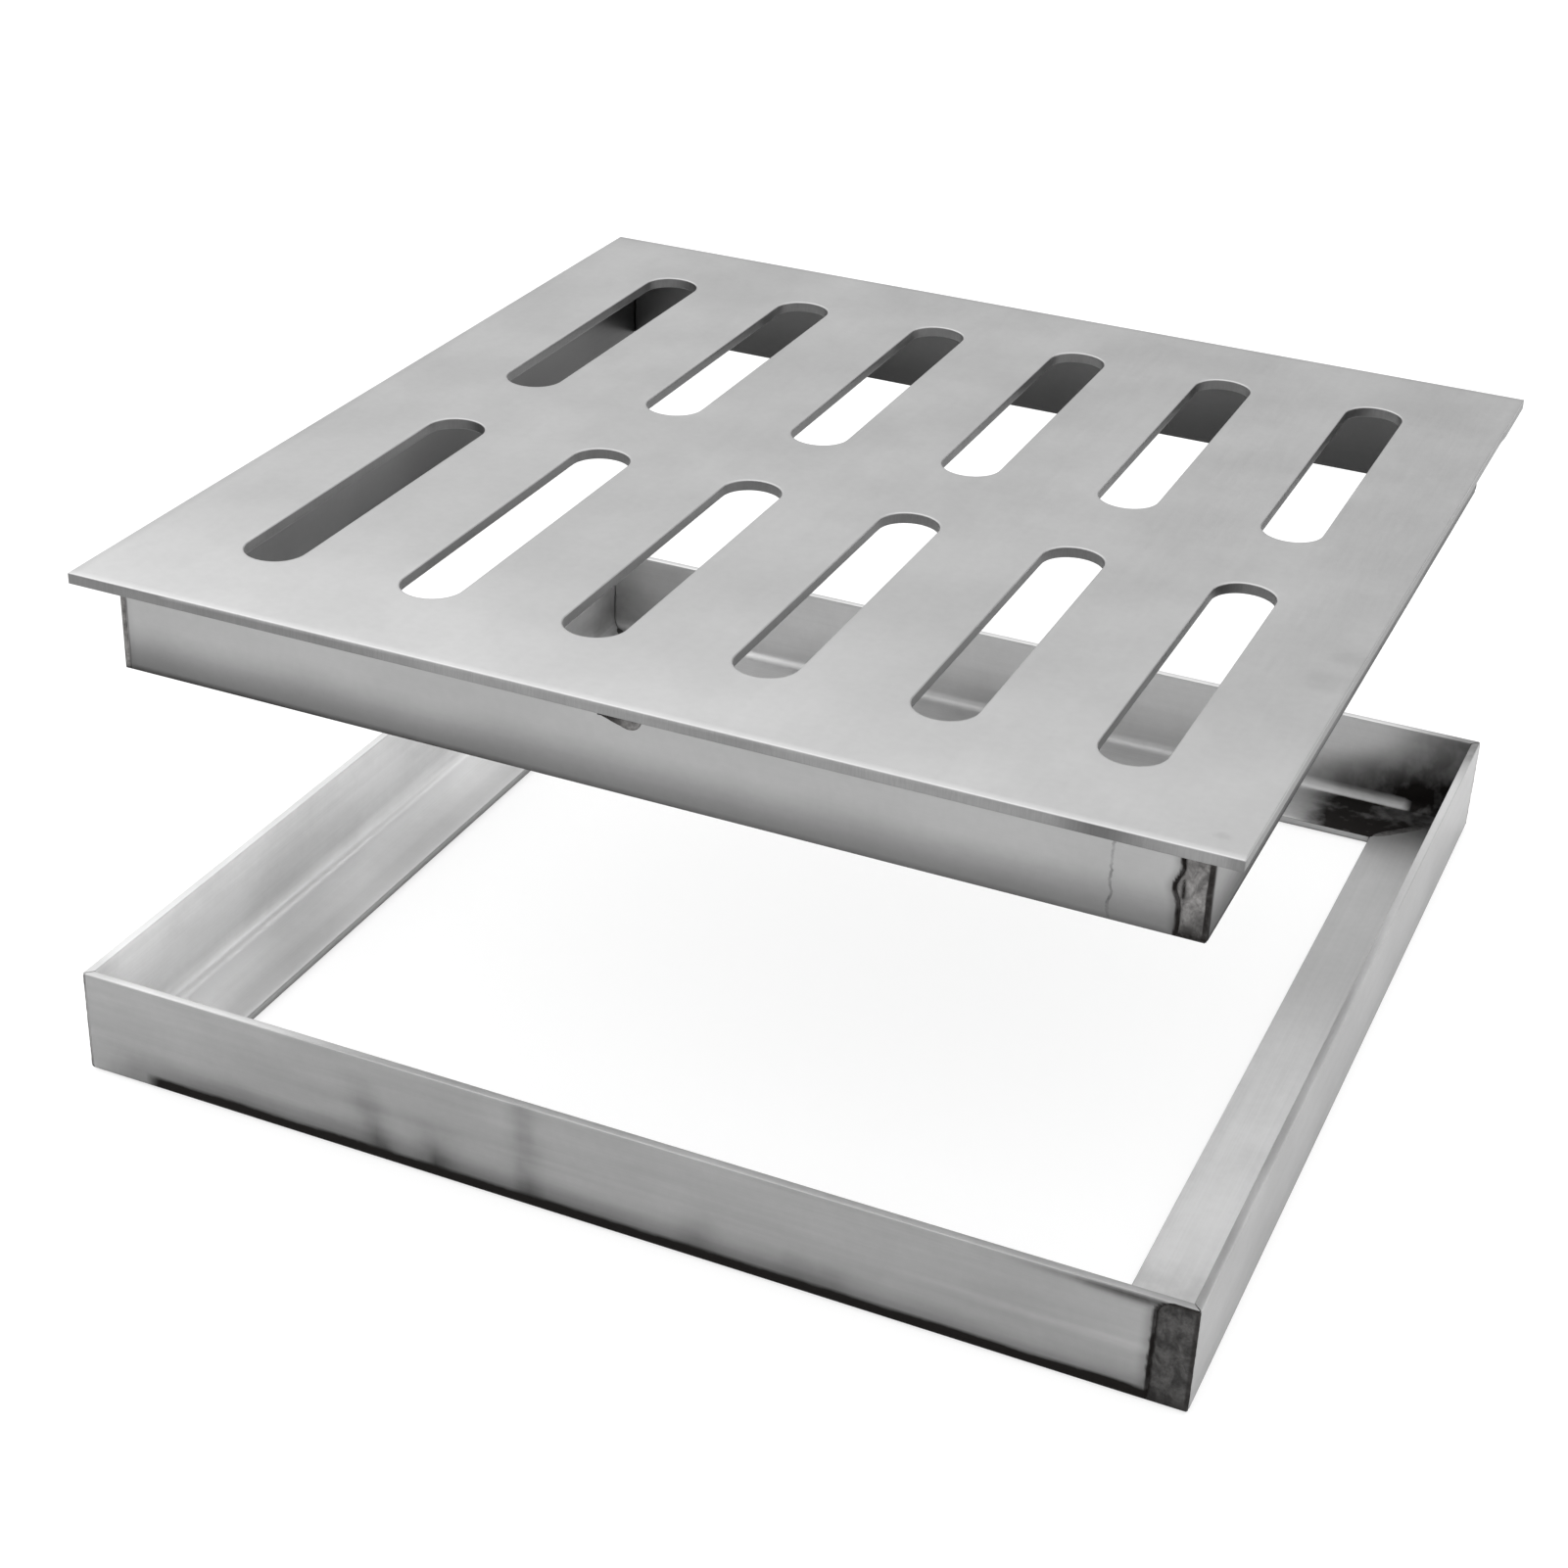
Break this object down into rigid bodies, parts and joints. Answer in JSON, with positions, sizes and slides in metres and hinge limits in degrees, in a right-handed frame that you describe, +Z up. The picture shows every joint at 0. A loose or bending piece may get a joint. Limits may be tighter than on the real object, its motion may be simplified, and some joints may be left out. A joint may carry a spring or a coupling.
{
  "type": "floor drain grate",
  "caption": "Square floor drain: a mitred, welded angle frame with an inner ledge, and a slotted grate on a skirt that lifts out of it, shown lifted clear.",
  "frame": {"origin": "middle of the frame's square, in the plane of its underside", "axes": "+Z up out of the floor; X and Y along the frame's sides; +Y is the back, and the slots' long sides run along Y"},
  "size_m": [0.3, 0.3, 0.143],
  "materials": {
    "frame_steel": "mill-finish stainless angle, brushed along its length, smudged, dark along its lower edge",
    "plate_steel": "fine satin stainless sheet with faint scuffs",
    "skirt_steel": "mill-finish stainless flat bar, brushed along its length",
    "weld_steel": "heat-darkened stainless weld metal, roughly dressed"
  },
  "bodies": {
    "frame": {"frame_rail_front": "frame_steel", "frame_rail_right": "frame_steel", "frame_rail_back": "frame_steel", "frame_rail_left": "frame_steel", "frame_corner_weld_front_right": "weld_steel", "frame_corner_weld_back_right": "weld_steel", "frame_corner_weld_back_left": "weld_steel", "frame_corner_weld_front_left": "weld_steel", "ledge_weld_front_right": "weld_steel", "ledge_weld_back_right": "weld_steel", "ledge_weld_back_left": "weld_steel", "ledge_weld_front_left": "weld_steel"},
    "grate": {"grate_plate": "plate_steel", "skirt_front": "skirt_steel", "skirt_right": "skirt_steel", "skirt_back": "skirt_steel", "skirt_left": "skirt_steel", "skirt_corner_weld_front_right": "weld_steel", "skirt_corner_weld_back_right": "weld_steel", "skirt_corner_weld_back_left": "weld_steel", "skirt_corner_weld_front_left": "weld_steel", "front_tack_weld": "weld_steel", "stitch_weld_front_1": "weld_steel", "stitch_weld_front_2": "weld_steel", "stitch_weld_right_1": "weld_steel", "stitch_weld_right_2": "weld_steel", "stitch_weld_back_1": "weld_steel", "stitch_weld_back_2": "weld_steel", "stitch_weld_left_1": "weld_steel", "stitch_weld_left_2": "weld_steel"}
  },
  "joints": [
    {"name": "grate_lift", "type": "slide", "parent": "frame", "child": "grate", "axis": [0, 0, 1], "range_m": [-0.113, 0]}
  ]
}
